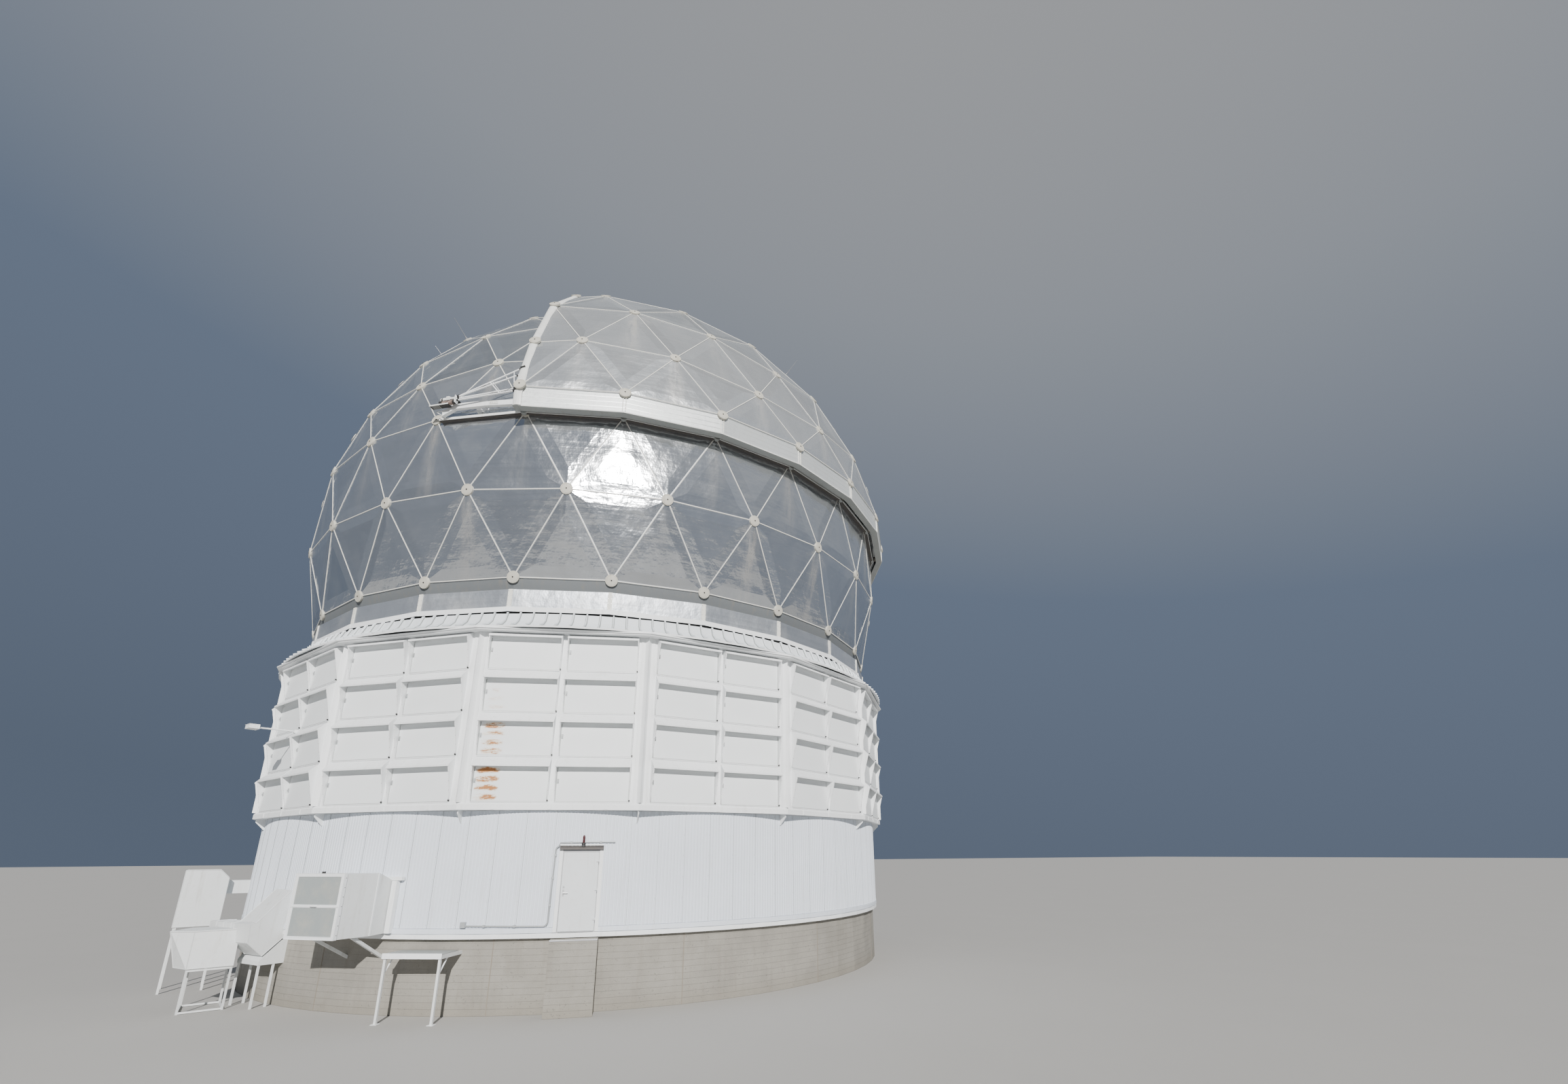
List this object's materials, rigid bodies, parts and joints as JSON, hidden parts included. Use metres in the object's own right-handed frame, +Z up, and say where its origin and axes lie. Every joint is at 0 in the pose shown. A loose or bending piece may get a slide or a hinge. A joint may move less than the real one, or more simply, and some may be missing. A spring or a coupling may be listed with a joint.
{
  "type": "rotating observatory dome",
  "caption": "Large observatory dome: geodesic dome with a turning outer shutter on a louvred drum with skirt roof, concrete base, hinged door and air intake.",
  "frame": {"origin": "centre of the building at the lowest ground level", "axes": "+Z up along the dome's turning axis, the entrance door faces -Y"},
  "size_m": [26.8643, 26.7673, 30.473],
  "materials": {
    "silver_sheet": "satin, weathered",
    "white_paint": "satin",
    "cream_paint": "satin",
    "dark_steel": "matt",
    "grey_steel": "satin",
    "concrete": "rough",
    "filter_screen": "matt"
  },
  "bodies": {
    "building": {"foundation_plinth": "concrete", "floor_slab": "concrete", "base_flashing": "dark_steel", "drum_wall_1": "white_paint", "drum_wall_2": "white_paint", "drum_wall_3": "white_paint", "drum_wall_4": "white_paint", "drum_wall_over_door": "white_paint", "door_frame": "grey_steel", "door_hood": "dark_steel", "door_step": "concrete", "band_base_ring": "white_paint", "louvre_wall_1": "white_paint", "louvre_wall_2": "white_paint", "louvre_wall_3": "white_paint", "louvre_wall_4": "white_paint", "cornice_ring": "white_paint", "ring_beam": "grey_steel", "skirt_roof": "silver_sheet", "azimuth_rail": "grey_steel", "intake_hood": "white_paint", "intake_screens": "filter_screen", "elbow_duct": "white_paint", "plenum_box": "white_paint", "stand_hood": "white_paint", "stand_frame": "white_paint", "exhaust_hood": "white_paint", "service_platform": "white_paint", "floodlight_arm": "white_paint"},
    "dome": {"base_rotation_ring": "grey_steel", "kick_panels": "silver_sheet", "dome_base_band": "dark_steel", "dome_lower_panels": "silver_sheet", "dome_upper_panels_1": "silver_sheet", "dome_upper_panels_2": "silver_sheet", "dome_upper_panels_3": "silver_sheet", "opening_arch_left": "white_paint", "opening_arch_right": "white_paint", "dome_ring_beam": "grey_steel", "dome_crown": "grey_steel", "shutter_track_girder": "dark_steel", "shutter_track_rail": "white_paint"},
    "shutter": {"shutter_panels_1": "silver_sheet", "shutter_panels_2": "silver_sheet", "shutter_skirt": "silver_sheet", "shutter_edge_beam_left": "cream_paint", "shutter_edge_beam_right": "cream_paint", "shutter_crown": "silver_sheet", "shutter_drive_motor": "dark_steel", "shutter_drive_truss": "grey_steel"},
    "door": {"door_leaf": "cream_paint", "door_handle": "grey_steel"}
  },
  "joints": [
    {"name": "dome_rotation", "type": "hinge", "parent": "building", "child": "dome", "pos_m": [0, 0, 11.19], "axis": [0, 0, 1], "continuous": true},
    {"name": "shutter_rotation", "type": "hinge", "parent": "dome", "child": "shutter", "pos_m": [0, 0, 17.7], "axis": [0, 0, 1], "range_deg": [0, 144]},
    {"name": "door_hinge", "type": "hinge", "parent": "building", "child": "door", "pos_m": [0.02658, -12.47156, 3], "axis": [0, 0, 1], "range_deg": [0, 105]}
  ]
}
